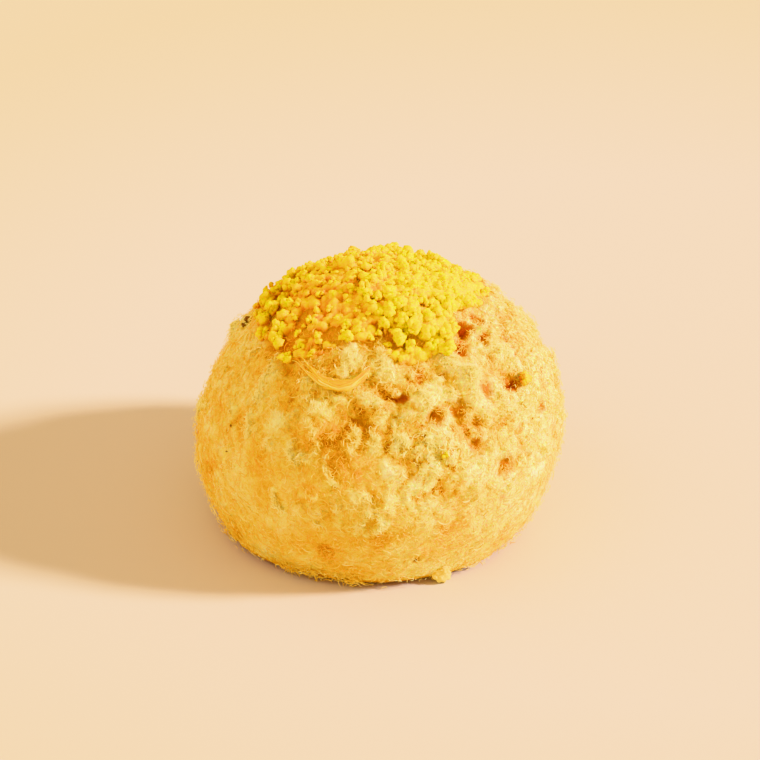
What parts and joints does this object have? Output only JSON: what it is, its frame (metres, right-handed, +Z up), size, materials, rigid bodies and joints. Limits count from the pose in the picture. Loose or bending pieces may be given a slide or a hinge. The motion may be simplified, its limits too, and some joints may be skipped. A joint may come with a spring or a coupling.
{
  "type": "chicken floss bun",
  "caption": "Round soft bread bun, coated all over in fluffy pale-gold chicken floss, with a heap of bright yellow egg yolk crumbs on its crown.",
  "frame": {"origin": "middle of the underside of the bun's box, on the table", "axes": "+Z up through the crown; -Y is the side with the long curved shred; +X is the side the crown leans to"},
  "size_m": [0.0794, 0.08, 0.0601],
  "materials": {
    "floss": "dry, fluffy, matted fibres, matt",
    "yolk_crumb": "moist crumbly cooked yolk, faint soft sheen",
    "dark_fleck": "toasted dark bits, matt"
  },
  "bodies": {
    "root": {"floss_bun": "floss"}
  },
  "joints": []
}
